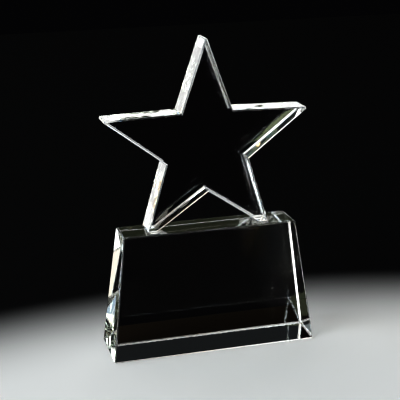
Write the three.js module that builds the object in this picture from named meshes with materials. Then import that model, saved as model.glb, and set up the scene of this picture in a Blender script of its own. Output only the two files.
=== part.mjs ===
// A crystal star award: a thick five-pointed star of optical crystal bonded by its two lower points
// to a solid trapezoidal crystal base. Millimetres, +X to the right, +Y to the back, +Z up.
// The origin is the middle of the base's underside.

import * as THREE from 'three';

// Base: a solid block that narrows upwards on all four sides.
const BASE_HEIGHT = 80.5;
const BASE_BOTTOM_WIDTH = 134;
const BASE_BOTTOM_DEPTH = 40;
const BASE_TOP_WIDTH = 113.5;
const BASE_TOP_DEPTH = 24;

// Star: a flat plate whose points and notches lie on two circles about one centre.
const STAR_POINTS = 5;
const STAR_POINT_RADIUS = 70.2;
const STAR_NOTCH_RADIUS = 28.4;
const STAR_THICKNESS = 18;
const STAR_CENTRE_HEIGHT = 132.3;
const STAR_FRONT_SETBACK = 5;
const POINT_FLAT_WIDTH = 1.3;

// Polished bevel along the edges of both blocks, measured along each face.
const BEVEL = 0.8;

// Adhesive film between each foot of the star and the base.
const BOND_THICKNESS = 0.2;

// Places that follow from the driving dimensions.
const FOOT_HEIGHT = BASE_HEIGHT + BOND_THICKNESS;
const STAR_FRONT_Y = -BASE_TOP_DEPTH / 2 + STAR_FRONT_SETBACK;
const STAR_CENTRE_Y = STAR_FRONT_Y + STAR_THICKNESS / 2;

const CRYSTAL = { color: 0xf4f8fa, roughness: 0.03, metalness: 0, transparent: true, opacity: 0.45 };
const ADHESIVE = { color: 0xeef3f2, roughness: 0.1, metalness: 0, transparent: true, opacity: 0.6 };

// A closed mesh from shared vertices and polygons given by vertex numbers, outward side counterclockwise.
function closedMesh(name, vertices, polygons, look) {
  const triangles = polygons.flatMap(fanOfTriangles);
  const geometry = new THREE.BufferGeometry();
  const coordinates = vertices.flatMap((vertex) => vertex.toArray());
  geometry.setAttribute('position', new THREE.Float32BufferAttribute(coordinates, 3));
  geometry.setIndex(triangles);
  geometry.computeVertexNormals();
  const mesh = new THREE.Mesh(geometry, new THREE.MeshStandardMaterial(look));
  mesh.name = name;
  return mesh;
}

function fanOfTriangles(polygon) {
  const triangles = [];
  for (let i = 1; i < polygon.length - 1; i += 1) {
    triangles.push(polygon[0], polygon[i], polygon[i + 1]);
  }
  return triangles;
}

// ---- Base ----

// The sharp corner of the block at the given signs of x, y and z, with z -1 below and 1 above.
function baseCorner(signs) {
  const width = signs[2] < 0 ? BASE_BOTTOM_WIDTH : BASE_TOP_WIDTH;
  const depth = signs[2] < 0 ? BASE_BOTTOM_DEPTH : BASE_TOP_DEPTH;
  const height = signs[2] < 0 ? 0 : BASE_HEIGHT;
  return new THREE.Vector3((signs[0] * width) / 2, (signs[1] * depth) / 2, height);
}

function flipped(signs, axis) {
  return signs.map((sign, i) => (i === axis ? -sign : sign));
}

// Where the face across the given axis keeps its corner once both its edges there are bevelled.
function bevelledFaceCorner(signs, faceAxis) {
  const corner = baseCorner(signs);
  const [first, second] = [0, 1, 2]
    .filter((axis) => axis !== faceAxis)
    .map((axis) => baseCorner(flipped(signs, axis)).sub(corner).normalize());
  const reach = BEVEL / Math.sin(first.angleTo(second));
  return corner.addScaledVector(first, reach).addScaledVector(second, reach);
}

// The vertex number of the face corner made by bevelledFaceCorner.
function baseVertexNumber(signs, faceAxis) {
  const cornerNumber = signs.reduce((number, sign) => number * 2 + (sign > 0 ? 1 : 0), 0);
  return cornerNumber * 3 + faceAxis;
}

// Turns a polygon of the convex block so that it faces away from the block's middle.
function facingOut(polygon, vertices, middle) {
  const [a, b, c] = polygon.map((number) => vertices[number]);
  const normal = b.clone().sub(a).cross(c.clone().sub(a));
  return normal.dot(a.clone().sub(middle)) > 0 ? polygon : polygon.slice().reverse();
}

function makeBase() {
  const signPairs = [-1, 1];
  const corners = signPairs.flatMap((x) => signPairs.flatMap((y) => signPairs.map((z) => [x, y, z])));
  const vertices = corners.flatMap((signs) => [0, 1, 2].map((axis) => bevelledFaceCorner(signs, axis)));
  const polygons = corners.map((signs) => [0, 1, 2].map((axis) => baseVertexNumber(signs, axis)));
  for (const axis of [0, 1, 2]) {
    const next = (axis + 1) % 3;
    const last = (axis + 2) % 3;
    for (const side of signPairs) {
      const start = [0, 0, 0];
      start[axis] = side;
      start[next] = -1;
      start[last] = -1;
      const round = [start, flipped(start, next), flipped(flipped(start, next), last), flipped(start, last)];
      polygons.push(round.map((signs) => baseVertexNumber(signs, axis)));
      for (const otherSide of signPairs) {
        // The bevel along the edge that runs in the direction of this axis.
        const edge = [0, 0, 0];
        edge[axis] = -1;
        edge[next] = side;
        edge[last] = otherSide;
        const farEnd = flipped(edge, axis);
        polygons.push([
          baseVertexNumber(edge, next),
          baseVertexNumber(farEnd, next),
          baseVertexNumber(farEnd, last),
          baseVertexNumber(edge, last),
        ]);
      }
    }
  }
  const middle = new THREE.Vector3(0, 0, BASE_HEIGHT / 2);
  const outward = polygons.map((polygon) => facingOut(polygon, vertices, middle));
  return closedMesh('crystal_base', vertices, outward, CRYSTAL);
}

// ---- Star ----

// A point or notch of the star about its centre; even steps are points, odd steps are notches.
function starCorner(step) {
  const radius = step % 2 === 0 ? STAR_POINT_RADIUS : STAR_NOTCH_RADIUS;
  const angle = Math.PI / 2 + (step * Math.PI) / STAR_POINTS;
  return new THREE.Vector2(radius * Math.cos(angle), radius * Math.sin(angle));
}

// Two corners that replace a sharp point by a narrow flat across it.
function bluntedPoint(step) {
  const tip = starCorner(step);
  return [starCorner(step - 1), starCorner(step + 1)].map((notch) => {
    const edge = notch.clone().sub(tip).normalize();
    const inward = tip.clone().negate().normalize();
    const halfAngle = Math.acos(edge.dot(inward));
    return tip.clone().addScaledVector(edge, POINT_FLAT_WIDTH / 2 / Math.sin(halfAngle));
  });
}

// Two corners where a lower point is ground flat to stand on the base.
function flatFoot(step) {
  const tip = starCorner(step);
  const cutHeight = FOOT_HEIGHT - STAR_CENTRE_HEIGHT;
  return [starCorner(step - 1), starCorner(step + 1)].map((notch) => {
    const share = (cutHeight - tip.y) / (notch.y - tip.y);
    return tip.clone().lerp(notch, share);
  });
}

// The star's outline seen from the front, counterclockwise from the top.
function starOutline() {
  const lastStep = STAR_POINTS * 2;
  const outline = [];
  for (let step = 0; step < lastStep; step += 1) {
    const isNotch = step % 2 === 1;
    const isFoot = step === 4 || step === 6;
    if (isNotch) {
      outline.push(starCorner(step));
    } else if (isFoot) {
      outline.push(...flatFoot(step));
    } else {
      outline.push(...bluntedPoint(step));
    }
  }
  return outline;
}

// The outline with every edge moved inwards by the distance, its corners kept sharp.
function movedInwards(outline, distance) {
  return outline.map((corner, i) => {
    const before = outline[(i + outline.length - 1) % outline.length];
    const after = outline[(i + 1) % outline.length];
    const arriving = corner.clone().sub(before).normalize();
    const leaving = after.clone().sub(corner).normalize();
    const inward = new THREE.Vector2(-arriving.y - leaving.y, arriving.x + leaving.x);
    const shift = (2 * distance) / inward.lengthSq();
    return corner.clone().addScaledVector(inward, shift);
  });
}

function makeStar() {
  const outline = starOutline();
  const inner = movedInwards(outline, BEVEL);
  const frontY = -STAR_THICKNESS / 2;
  const rings = [
    { outline: inner, y: frontY },
    { outline, y: frontY + BEVEL },
    { outline, y: -frontY - BEVEL },
    { outline: inner, y: -frontY },
  ];
  const count = outline.length;
  const vertices = rings.flatMap((ring) => ring.outline.map((p) => new THREE.Vector3(p.x, ring.y, p.y)));
  const polygons = [];
  for (const triangle of THREE.ShapeUtils.triangulateShape(inner, [])) {
    polygons.push(triangle);
    polygons.push(triangle.map((number) => number + count * (rings.length - 1)).reverse());
  }
  for (let ring = 0; ring < rings.length - 1; ring += 1) {
    for (let i = 0; i < count; i += 1) {
      const near = ring * count + i;
      const nearNext = ring * count + ((i + 1) % count);
      polygons.push([near, near + count, nearNext + count, nearNext]);
    }
  }
  const star = closedMesh('crystal_star', vertices, polygons, CRYSTAL);
  star.position.set(0, STAR_CENTRE_Y, STAR_CENTRE_HEIGHT);
  return star;
}

// ---- Adhesive films ----

// The film fills the space between the base and the flat of the foot at the given step of the star.
function makeBondFilm(name, step) {
  const [outer, inner] = flatFoot(step);
  const width = Math.abs(inner.x - outer.x);
  const depth = STAR_THICKNESS - 2 * BEVEL;
  const film = new THREE.Mesh(
    new THREE.BoxGeometry(width, depth, BOND_THICKNESS),
    new THREE.MeshStandardMaterial(ADHESIVE),
  );
  film.name = name;
  film.position.set((outer.x + inner.x) / 2, STAR_CENTRE_Y, BASE_HEIGHT + BOND_THICKNESS / 2);
  return film;
}

const award = new THREE.Group();
award.add(makeBase());
award.add(makeStar());
award.add(makeBondFilm('bond_film_left', 4));
award.add(makeBondFilm('bond_film_right', 6));

export default award;
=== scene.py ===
"""Crystal star award: crystal materials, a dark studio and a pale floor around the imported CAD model."""

import math

import bmesh
import bpy
from mathutils import Matrix, Vector


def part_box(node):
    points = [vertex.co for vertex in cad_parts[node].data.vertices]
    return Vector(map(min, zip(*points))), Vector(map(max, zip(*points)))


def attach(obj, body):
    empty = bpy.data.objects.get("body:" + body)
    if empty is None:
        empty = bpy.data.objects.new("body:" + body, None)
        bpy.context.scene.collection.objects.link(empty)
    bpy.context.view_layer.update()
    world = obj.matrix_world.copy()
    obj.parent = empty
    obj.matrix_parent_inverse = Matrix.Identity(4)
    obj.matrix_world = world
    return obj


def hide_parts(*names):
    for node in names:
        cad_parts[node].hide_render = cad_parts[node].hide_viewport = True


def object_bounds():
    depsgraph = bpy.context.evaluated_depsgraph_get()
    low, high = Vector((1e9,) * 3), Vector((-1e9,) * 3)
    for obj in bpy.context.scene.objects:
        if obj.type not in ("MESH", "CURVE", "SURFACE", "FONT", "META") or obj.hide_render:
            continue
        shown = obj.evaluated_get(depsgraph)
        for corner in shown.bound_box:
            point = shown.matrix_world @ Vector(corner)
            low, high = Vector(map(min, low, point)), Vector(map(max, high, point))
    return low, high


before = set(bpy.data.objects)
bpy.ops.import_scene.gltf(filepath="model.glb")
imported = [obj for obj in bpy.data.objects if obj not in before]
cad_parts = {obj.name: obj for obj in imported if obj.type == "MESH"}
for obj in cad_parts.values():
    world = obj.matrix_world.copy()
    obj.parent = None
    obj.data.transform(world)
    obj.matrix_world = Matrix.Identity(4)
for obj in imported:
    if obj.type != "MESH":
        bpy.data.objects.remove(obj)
CAD_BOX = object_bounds()
LOW, HIGH = CAD_BOX
CENTRE = (LOW + HIGH) / 2
FILM_NODES = ("bond_film_left", "bond_film_right")

# Camera: place in metres, turns in degrees, lens and sensor in millimetres.
CAMERA_POSITION = Vector((-0.1778, -0.6449, 0.2987))
CAMERA_YAW = 15.09
CAMERA_PITCH = 16.81
CAMERA_ROLL = -0.966
CAMERA_LENS = 98.28
SENSOR_WIDTH = 36.0
CLIP_NEAR, CLIP_FAR = 0.01, 20

# Each pass through a face takes a little red and blue, so light that stays long in the crystal turns olive.
# The tint of large faces and bevels wanders between two values, in the faint streaks that a melt leaves.
CRYSTAL_IOR = 1.52
CRYSTAL_TINT = (0.996, 1.0, 0.990)
PALE_STREAK = (0.998, 1.0, 0.994)
DEEP_STREAK = (0.994, 1.0, 0.986)
STREAKS_PER_METRE = 30

# The star's side faces are polished by hand, in patches that each lean a little their own way.
PATCHES_PER_METRE = 110
PATCH_LEAN = 0.05

# The bevels are polished less finely than the faces, so every edge scatters light as a bright line.
BEVEL_ROUGHNESS = 0.25

# The rim of the cured adhesive is glossy, with duller spots.
ADHESIVE_GRAIN_PER_METRE = 900
ADHESIVE_ROUGHNESS = (0.0, 0.15)

# Nearly all values of Blender's noise pattern lie between these.
NOISE_EXTENT = (0.3, 0.7)

# Rounding along the edges of faces and bevels: how far it reaches along them, and how it is cut.
EDGE_ROUNDING = 0.00012
EDGE_SEGMENTS = 3
ROUND_PROFILE = 0.5

# A face narrower than the limit is a bevel. A side face of the star has almost none of its normal along Y.
BEVEL_WIDTH_LIMIT = 0.0015
SIDE_NORMAL_LIMIT = 0.1

# Places of the materials in a crystal's list.
FACE, EDGE, CONTACT, SIDE = 0, 1, 2, 3

# Tolerances: faces taken as one plane, points taken as one, points taken to lie on a plane, and edges too
# short to keep.
FLAT_ANGLE = math.radians(1)
SAME_POINT = 1e-7
ON_PLANE = 1e-6
SHORTEST_EDGE = 1e-6

WHITE = (1.0, 1.0, 1.0)
COOL = (0.82, 0.94, 1.0)
OLIVE = (0.85, 1.0, 0.58)
WARM = (1.0, 0.98, 0.86)
AMBER = (1.0, 0.91, 0.80)

# The rim of a softbox seen through a thick prism of crystal spreads into a blue and an orange fringe. Each
# takes up this share of the softbox's width.
FRINGE = 0.1
WIDE_FRINGE = 0.4
FRINGE_BLUE = (0.25, 0.50, 1.0, 1)
FRINGE_ORANGE = (1.0, 0.62, 0.22, 1)

# Softboxes: name, compass and height of their direction, angles they span, radiance, colour and fringe.
SOFTBOXES = (
    ("left_behind", 345, -5, (15, 20), 3.0, WHITE, FRINGE),
    ("right_behind", 38, -5, (28, 20), 1.0, WHITE, FRINGE),
    ("low_behind", 12, 11, (36, 7), 2.4, WHITE, FRINGE),
    ("low_behind_right", 20, 3, (14, 8), 2.4, WHITE, FRINGE),
    ("olive_behind", 14, 18, (22, 7), 0.05, OLIVE, FRINGE),
    ("behind_left_edge", 358, 18, (8, 7), 3.0, WHITE, FRINGE),
    ("glow_behind", 15, 28, (60, 14), 0.008, COOL, FRINGE),
    ("high_behind", 22, 50, (19, 10), 6.0, WHITE, FRINGE),
    ("high_left_behind", 335, 55, (30, 20), 3.0, WHITE, FRINGE),
    ("left_behind_strip", 345, 30, (14, 8), 0.15, COOL, FRINGE),
    ("high_front", 150, 50, (10, 10), 3.0, WHITE, FRINGE),
    ("left_band", 162, 30.5, (10, 10), 2.0, AMBER, FRINGE),
    ("olive_front", 184, 22, (8, 7), 3.2, OLIVE, FRINGE),
    ("front", 192, 14, (7, 6), 2.0, WARM, FRINGE),
    ("high_front_left", 202, 40, (23, 10), 0.4, OLIVE, FRINGE),
    ("left_key", 240, 20, (42, 30), 6.0, COOL, FRINGE),
    ("left_high", 255, 45, (30, 20), 4.5, WHITE, FRINGE),
    ("left", 278, 10, (30, 30), 9.0, COOL, FRINGE),
    ("left_back_low", 310, -5, (30, 20), 7.0, WHITE, FRINGE),
    ("right_low", 92, 5, (22, 12), 1.5, WHITE, WIDE_FRINGE),
    ("low_right", 120, 0, (45, 10), 3.5, COOL, FRINGE),
    ("right", 82, 20, (35, 30), 1.2, WHITE, FRINGE),
    ("top", 0, 80, (45, 45), 0.15, WARM, FRINGE),
)
SOFTBOX_DISTANCE = 3.0

# Floor: a pale sheet with a painted pool of light, its colour fading to painted shade outside the pool, over
# a dark table that only the crystal sees and whose back edge shows through the base. The painted light fades
# between two shares of the pool's reach.
FLOOR_HALF_WIDTH = 1.5
FLOOR_LEVEL = -0.0003
FLOOR_PALE = (0.75, 0.745, 0.73, 1)
# The floor's colour outside the painted pool of light: painted shade.
FLOOR_PAINTED_SHADE = (0.002, 0.002, 0.002, 1)
POOL_MIDDLE = Vector((0, -0.14, 0))
POOL_REACH = Vector((0.36, 0.22, 1))
POOL_FADE = (0.55, 1.15)
TABLE_BACK = HIGH.y + 0.022
TABLE_LEVEL = -0.0006
TABLE_COLOUR = (0.006, 0.0045, 0.003, 1)
STUDIO_COLOUR = (0.001, 0.001, 0.0012, 1)

# Light passes many faces before it leaves the crystal. The pixel filter keeps the hairline edges crisp.
MOST_BOUNCES = 48
CRYSTAL_BOUNCES = 40
FILTER_WIDTH = 1.25


# ---- Camera and stage ----


def make_camera():
    yaw, pitch, roll = (math.radians(angle) for angle in (CAMERA_YAW, CAMERA_PITCH, CAMERA_ROLL))
    forward = Vector((math.sin(yaw) * math.cos(pitch), math.cos(yaw) * math.cos(pitch), -math.sin(pitch)))
    level_right = Vector((math.cos(yaw), -math.sin(yaw), 0))
    level_up = level_right.cross(forward)
    right = level_right * math.cos(roll) + level_up * math.sin(roll)
    up = level_up * math.cos(roll) - level_right * math.sin(roll)
    data = bpy.data.cameras.new("camera")
    data.lens = CAMERA_LENS
    data.sensor_width = SENSOR_WIDTH
    data.clip_start = CLIP_NEAR
    data.clip_end = CLIP_FAR
    camera = bpy.data.objects.new("camera", data)
    bpy.context.scene.collection.objects.link(camera)
    turn = Matrix((right, up, -forward)).transposed()
    camera.matrix_world = Matrix.Translation(CAMERA_POSITION) @ turn.to_4x4()
    bpy.context.scene.camera = camera


def make_plane(name, back, level, material):
    half = FLOOR_HALF_WIDTH
    corners = [(-half, -half, level), (half, -half, level), (half, back, level), (-half, back, level)]
    mesh = bpy.data.meshes.new(name)
    mesh.from_pydata(corners, [], [(0, 1, 2, 3)])
    mesh.materials.append(material)
    plane = bpy.data.objects.new(name, mesh)
    bpy.context.scene.collection.objects.link(plane)
    return plane


# The crystal sees the dark table and not the pale sheet, as in a dark-field picture, where the pale parts of
# the set are kept out of the reflections.
def make_stage():
    floor = make_plane("floor", FLOOR_HALF_WIDTH, FLOOR_LEVEL, floor_material())
    floor.visible_glossy = False
    floor.visible_transmission = False
    floor.visible_shadow = False
    table = make_plane("table", TABLE_BACK, TABLE_LEVEL, table_material())
    table.visible_camera = False


def table_material():
    material, tree = node_material("table_cloth")
    matt_surface(tree).inputs["Color"].default_value = TABLE_COLOUR
    return material


# The floor's colour paints the pool of light: pale in the pool, fading to painted shade outside it.
def floor_material():
    material, tree = node_material("floor_with_painted_light_pool")
    colour = tree.nodes.new("ShaderNodeMix")
    colour.data_type = "RGBA"
    colour.inputs["A"].default_value = FLOOR_PAINTED_SHADE
    colour.inputs["B"].default_value = FLOOR_PALE
    tree.links.new(painted_light_pool(tree), colour.inputs["Factor"])
    tree.links.new(colour.outputs["Result"], matt_surface(tree).inputs["Color"])
    return material


# 1 in the painted pool of light, fading to 0 outside it, where the floor's colour is painted shade.
def painted_light_pool(tree):
    place = tree.nodes.new("ShaderNodeNewGeometry")
    from_middle = vector_math(tree, "SUBTRACT", place.outputs["Position"], POOL_MIDDLE)
    in_reaches = vector_math(tree, "DIVIDE", from_middle.outputs[0], POOL_REACH)
    distance = tree.nodes.new("ShaderNodeVectorMath")
    distance.operation = "LENGTH"
    tree.links.new(in_reaches.outputs[0], distance.inputs[0])
    light = map_range(tree, distance.outputs["Value"], POOL_FADE, (1, 0))
    light.interpolation_type = "SMOOTHERSTEP"
    return light.outputs[0]


# Compass is degrees from +Y towards +X and height is degrees above the horizon, from the object's middle.
def make_softbox(name, compass, height, spread, radiance, colour, fringe):
    wide, tall = (2 * SOFTBOX_DISTANCE * math.tan(math.radians(angle) / 2) for angle in spread)
    turn, rise = math.radians(compass), math.radians(height)
    way = Vector((math.sin(turn) * math.cos(rise), math.cos(turn) * math.cos(rise), math.sin(rise)))
    data = bpy.data.lights.new(name, "AREA")
    data.shape = "RECTANGLE"
    data.size = wide
    data.size_y = tall
    data.energy = radiance * math.pi * wide * tall
    data.color = colour
    add_fringes(data, fringe)
    light = bpy.data.objects.new(name, data)
    bpy.context.scene.collection.objects.link(light)
    light.location = CENTRE + way * SOFTBOX_DISTANCE
    light.rotation_mode = "QUATERNION"
    light.rotation_quaternion = (-way).to_track_quat("-Z", "Y")
    light.visible_camera = False


def add_fringes(data, share):
    data.use_nodes = True
    tree = data.node_tree
    place = tree.nodes.new("ShaderNodeNewGeometry")
    across = tree.nodes.new("ShaderNodeSeparateXYZ")
    tree.links.new(place.outputs["Parametric"], across.inputs[0])
    ramp = tree.nodes.new("ShaderNodeValToRGB")
    stops = ramp.color_ramp.elements
    stops[0].color = FRINGE_BLUE
    stops[1].color = FRINGE_ORANGE
    for rim in (share, 1 - share):
        stops.new(rim).color = (*WHITE, 1)
    tree.links.new(across.outputs[0], ramp.inputs[0])
    tree.links.new(ramp.outputs["Color"], tree.nodes["Emission"].inputs["Color"])


def make_world():
    world = bpy.data.worlds.new("dark_studio")
    world.use_nodes = True
    world.node_tree.nodes["Background"].inputs[0].default_value = STUDIO_COLOUR
    bpy.context.scene.world = world


# ---- Material parts ----


def node_material(name):
    material = bpy.data.materials.new(name)
    material.use_nodes = True
    material.node_tree.nodes.clear()
    return material, material.node_tree


def surface(tree, kind):
    shader = tree.nodes.new(kind)
    out = tree.nodes.new("ShaderNodeOutputMaterial")
    tree.links.new(shader.outputs[0], out.inputs["Surface"])
    return shader


def matt_surface(tree):
    return surface(tree, "ShaderNodeBsdfDiffuse")


def glass_surface(tree, ior=CRYSTAL_IOR, colour=CRYSTAL_TINT, roughness=0):
    glass = surface(tree, "ShaderNodeBsdfGlass")
    glass.inputs["Color"].default_value = (*colour, 1)
    glass.inputs["IOR"].default_value = ior
    glass.inputs["Roughness"].default_value = roughness
    return glass


def vector_math(tree, operation, vector, constant):
    node = tree.nodes.new("ShaderNodeVectorMath")
    node.operation = operation
    node.inputs[1].default_value = constant
    tree.links.new(vector, node.inputs[0])
    return node


def map_range(tree, value, given, wanted):
    node = tree.nodes.new("ShaderNodeMapRange")
    node.inputs["From Min"].default_value = given[0]
    node.inputs["From Max"].default_value = given[1]
    node.inputs["To Min"].default_value = wanted[0]
    node.inputs["To Max"].default_value = wanted[1]
    tree.links.new(value, node.inputs["Value"])
    return node


def pattern_in_space(tree, kind, scale):
    place = tree.nodes.new("ShaderNodeNewGeometry")
    pattern = tree.nodes.new(kind)
    pattern.inputs["Scale"].default_value = scale
    tree.links.new(place.outputs["Position"], pattern.inputs["Vector"])
    return pattern


# Tilts the surface by up to half the given lean each way, as the pattern's colour says.
def lean_normal(tree, glass, pattern, lean):
    place = tree.nodes.new("ShaderNodeNewGeometry")
    leaned = vector_math(tree, "MULTIPLY_ADD", pattern.outputs["Color"], (lean,) * 3)
    tree.links.new(place.outputs["Normal"], leaned.inputs[2])
    centred = vector_math(tree, "SUBTRACT", leaned.outputs[0], (lean / 2,) * 3)
    normal = tree.nodes.new("ShaderNodeVectorMath")
    normal.operation = "NORMALIZE"
    tree.links.new(centred.outputs[0], normal.inputs[0])
    tree.links.new(normal.outputs[0], glass.inputs["Normal"])


# ---- Materials of the award ----


def streaked_crystal(name, roughness):
    material, tree = node_material(name)
    glass = glass_surface(tree, roughness=roughness)
    streaks = pattern_in_space(tree, "ShaderNodeTexNoise", STREAKS_PER_METRE)
    tint = tree.nodes.new("ShaderNodeMix")
    tint.data_type = "RGBA"
    tint.inputs["A"].default_value = (*PALE_STREAK, 1)
    tint.inputs["B"].default_value = (*DEEP_STREAK, 1)
    tree.links.new(streaks.outputs[0], tint.inputs["Factor"])
    tree.links.new(tint.outputs["Result"], glass.inputs["Color"])
    return material


def hand_polished_crystal(name):
    material, tree = node_material(name)
    glass = glass_surface(tree)
    patches = pattern_in_space(tree, "ShaderNodeTexVoronoi", PATCHES_PER_METRE)
    lean_normal(tree, glass, patches, PATCH_LEAN)
    return material


def spotted_adhesive(name):
    material, tree = node_material(name)
    glass = glass_surface(tree)
    grain = pattern_in_space(tree, "ShaderNodeTexNoise", ADHESIVE_GRAIN_PER_METRE)
    roughness = map_range(tree, grain.outputs[0], NOISE_EXTENT, ADHESIVE_ROUGHNESS)
    tree.links.new(roughness.outputs[0], glass.inputs["Roughness"])
    return material


# Faces that are wetted by the adhesive: light passes straight on, since crystal and adhesive bend it alike.
def wetted_face(name):
    material, tree = node_material(name)
    glass_surface(tree, ior=1.0, colour=WHITE)
    return material


# ---- Pieces ----


def mesh_of(node):
    shape = bmesh.new()
    shape.from_mesh(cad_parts[node].data)
    bmesh.ops.remove_doubles(shape, verts=shape.verts, dist=SAME_POINT)
    bmesh.ops.dissolve_limit(shape, angle_limit=FLAT_ANGLE, verts=shape.verts, edges=shape.edges)
    return shape


# True for an edge or a face whose corners all lie at the height.
def lies_at(part, height):
    return all(abs(vertex.co.z - height) < ON_PLANE for vertex in part.verts)


def is_narrow(face):
    return 2 * face.calc_area() / face.calc_perimeter() < BEVEL_WIDTH_LIMIT


def round_edges(shape, edges):
    for face in shape.faces:
        face.material_index = EDGE if is_narrow(face) else FACE
    bmesh.ops.bevel(
        shape,
        geom=edges,
        offset=EDGE_ROUNDING,
        offset_type="OFFSET",
        segments=EDGE_SEGMENTS,
        profile=ROUND_PROFILE,
        material=EDGE,
        affect="EDGES",
        clamp_overlap=True,
    )
    bmesh.ops.dissolve_degenerate(shape, dist=SHORTEST_EDGE, edges=shape.edges)


# Cuts the faces at the given height along the plane, and leaves the others whole.
def cut_faces_at(shape, height, point, normal):
    faces = [face for face in shape.faces if lies_at(face, height)]
    edges = {edge for face in faces for edge in face.edges}
    verts = {vertex for face in faces for vertex in face.verts}
    geometry = [*faces, *edges, *verts]
    bmesh.ops.bisect_plane(shape, geom=geometry, plane_co=point, plane_no=normal, dist=SAME_POINT)


def finish_piece(shape, name, node, materials):
    mesh = bpy.data.meshes.new(name)
    bmesh.ops.recalc_face_normals(shape, faces=shape.faces)
    shape.to_mesh(mesh)
    shape.free()
    for material in materials:
        mesh.materials.append(material)
    piece = bpy.data.objects.new(name, mesh)
    bpy.context.scene.collection.objects.link(piece)
    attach(piece, "root")
    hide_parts(node)


# The feet keep sharp edges underneath, where the adhesive meets them.
def make_star(materials):
    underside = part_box("crystal_star")[0].z
    shape = mesh_of("crystal_star")
    round_edges(shape, [edge for edge in shape.edges if not lies_at(edge, underside)])
    for face in shape.faces:
        if lies_at(face, underside):
            face.material_index = CONTACT
        elif face.material_index == FACE and abs(face.normal.y) < SIDE_NORMAL_LIMIT:
            face.material_index = SIDE
    finish_piece(shape, "star_crystal", "crystal_star", materials)


# The top face is cut along the outlines of the two films, so that the parts under them can be wetted.
def make_base(materials):
    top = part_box("crystal_base")[1].z
    shape = mesh_of("crystal_base")
    round_edges(shape, list(shape.edges))
    for film in FILM_NODES:
        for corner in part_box(film):
            cut_faces_at(shape, top, corner, (1, 0, 0))
            cut_faces_at(shape, top, corner, (0, 1, 0))
    for face in shape.faces:
        if lies_at(face, top) and is_under_film(face.calc_center_median()):
            face.material_index = CONTACT
    finish_piece(shape, "base_crystal", "crystal_base", materials)


def is_under_film(point):
    boxes = [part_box(film) for film in FILM_NODES]
    return any(low.x < point.x < high.x and low.y < point.y < high.y for low, high in boxes)


# A film's rim is the first material, and its glued faces are the second.
def make_film(node, materials):
    low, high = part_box(node)
    shape = mesh_of(node)
    for face in shape.faces:
        face.material_index = int(lies_at(face, low.z) or lies_at(face, high.z))
    finish_piece(shape, node + "_cured", node, materials)


# ---- The scene ----

make_camera()
make_world()
crystal = streaked_crystal("optical_crystal", 0)
contact = wetted_face("wetted_face")
adhesive = spotted_adhesive("cured_adhesive")
bevel = streaked_crystal("crystal_bevel", BEVEL_ROUGHNESS)
side = hand_polished_crystal("hand_polished_crystal")
make_star([crystal, bevel, contact, side])
make_base([crystal, bevel, contact])
for film_node in FILM_NODES:
    make_film(film_node, [adhesive, contact])
make_stage()
for row in SOFTBOXES:
    make_softbox(*row)

cycles = bpy.context.scene.cycles
cycles.filter_width = FILTER_WIDTH
cycles.max_bounces = MOST_BOUNCES
cycles.glossy_bounces = CRYSTAL_BOUNCES
cycles.transmission_bounces = CRYSTAL_BOUNCES
bpy.context.scene.view_settings.view_transform = "Standard"
